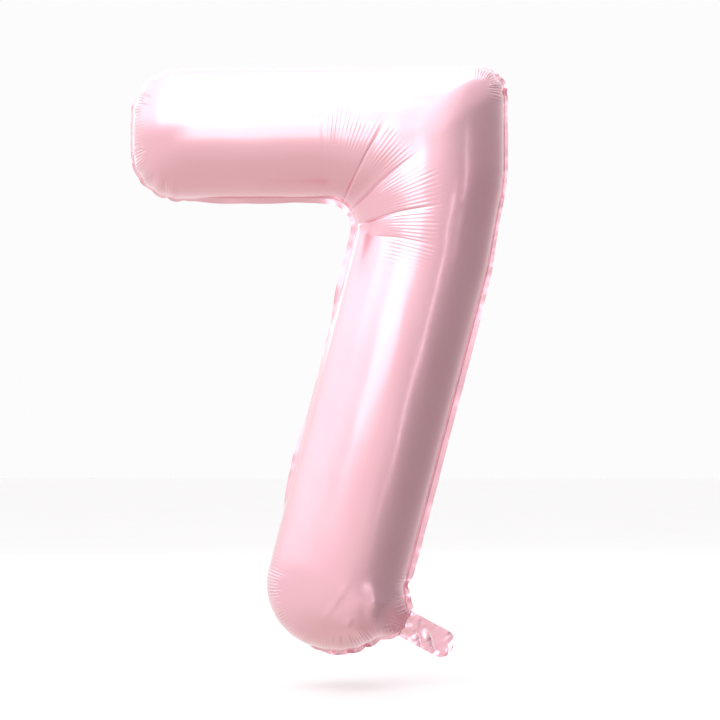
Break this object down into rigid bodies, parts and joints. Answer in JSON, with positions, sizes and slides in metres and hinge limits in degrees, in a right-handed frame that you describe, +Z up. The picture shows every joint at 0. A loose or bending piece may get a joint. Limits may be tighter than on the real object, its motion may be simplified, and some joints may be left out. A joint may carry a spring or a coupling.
{
  "type": "foil number balloon",
  "caption": "Inflated foil figure-seven balloon: two heat-sealed film panels with a flat seam band, a neck and a flat filling tail that folds.",
  "frame": {"origin": "the middle of the filling neck's throat, in the plane where the two panels are sealed, where a ribbon is tied", "axes": "+Z up, along the inflated figure's height; +X to the viewer's right as the digit is read; the front panel faces -Y"},
  "size_m": [0.568, 0.1992, 0.8856],
  "materials": {
    "pink_foil": "metallised pearl pink film, satin gloss",
    "valve_film": "clear to milky thin film"
  },
  "bodies": {
    "envelope": {"front_panel": "pink_foil", "back_panel": "pink_foil", "front_valve_film": "valve_film", "back_valve_film": "valve_film"},
    "tail": {"front_panel_tail": "pink_foil", "back_panel_tail": "pink_foil", "front_valve_film_tail": "valve_film", "back_valve_film_tail": "valve_film"}
  },
  "joints": [
    {"name": "tail_fold", "type": "hinge", "parent": "envelope", "child": "tail", "pos_m": [0.00795, 0, -0.00423], "axis": [0.4695, 0, 0.8829], "range_deg": [-120, 120]}
  ]
}
